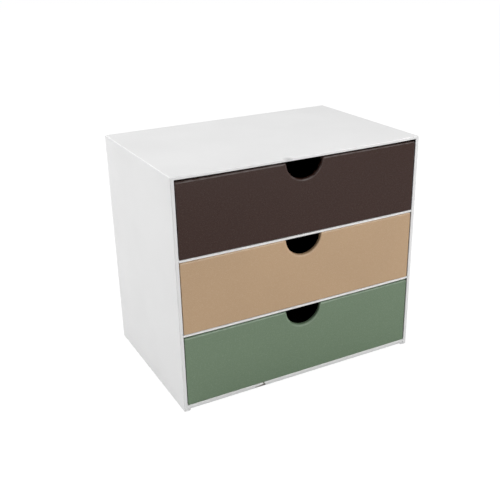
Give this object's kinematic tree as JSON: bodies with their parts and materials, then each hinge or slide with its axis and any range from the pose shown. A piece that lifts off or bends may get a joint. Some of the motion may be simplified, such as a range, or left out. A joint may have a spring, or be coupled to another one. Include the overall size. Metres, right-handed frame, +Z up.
{
  "type": "desktop mini drawers",
  "caption": "Small desktop chest in paper-covered board with stacked pull-out drawers, each with a half-round finger notch in its front.",
  "frame": {"origin": "middle of the footprint, on the surface that the case stands on", "axes": "+X to the right seen from the front, +Y from the front to the back, +Z up; the drawers pull out along -Y"},
  "size_m": [0.26, 0.171, 0.229],
  "materials": {
    "greyboard": "matte",
    "white_paper": "satin",
    "kraft_tape": "matte",
    "black_paper": "matte",
    "brown_paper": "satin",
    "tan_paper": "satin",
    "green_paper": "satin"
  },
  "bodies": {
    "case": {"case_left": "greyboard", "case_right": "greyboard", "case_top": "greyboard", "case_bottom": "greyboard", "case_back": "greyboard", "case_base": "white_paper", "case_stays": "kraft_tape", "case_wrap": "white_paper", "case_lining": "white_paper", "case_floor_paper": "white_paper", "case_back_sheet": "white_paper", "lower_shelf": "greyboard", "upper_shelf": "greyboard", "lower_shelf_wrap": "white_paper", "upper_shelf_wrap": "white_paper"},
    "bottom_drawer": {"bottom_drawer_face": "greyboard", "bottom_drawer_front": "greyboard", "bottom_drawer_back": "greyboard", "bottom_drawer_left": "greyboard", "bottom_drawer_right": "greyboard", "bottom_drawer_base": "greyboard", "bottom_drawer_stays": "kraft_tape", "bottom_drawer_wrap": "green_paper", "bottom_drawer_lining": "black_paper"},
    "middle_drawer": {"middle_drawer_face": "greyboard", "middle_drawer_front": "greyboard", "middle_drawer_back": "greyboard", "middle_drawer_left": "greyboard", "middle_drawer_right": "greyboard", "middle_drawer_base": "greyboard", "middle_drawer_stays": "kraft_tape", "middle_drawer_wrap": "tan_paper", "middle_drawer_lining": "black_paper"},
    "top_drawer": {"top_drawer_face": "greyboard", "top_drawer_front": "greyboard", "top_drawer_back": "greyboard", "top_drawer_left": "greyboard", "top_drawer_right": "greyboard", "top_drawer_base": "greyboard", "top_drawer_stays": "kraft_tape", "top_drawer_wrap": "brown_paper", "top_drawer_lining": "black_paper"}
  },
  "joints": [
    {"name": "bottom_drawer_slide", "type": "slide", "parent": "case", "child": "bottom_drawer", "axis": [0, -1, 0], "range_m": [0, 0.12]},
    {"name": "middle_drawer_slide", "type": "slide", "parent": "case", "child": "middle_drawer", "axis": [0, -1, 0], "range_m": [0, 0.12]},
    {"name": "top_drawer_slide", "type": "slide", "parent": "case", "child": "top_drawer", "axis": [0, -1, 0], "range_m": [0, 0.12]}
  ]
}
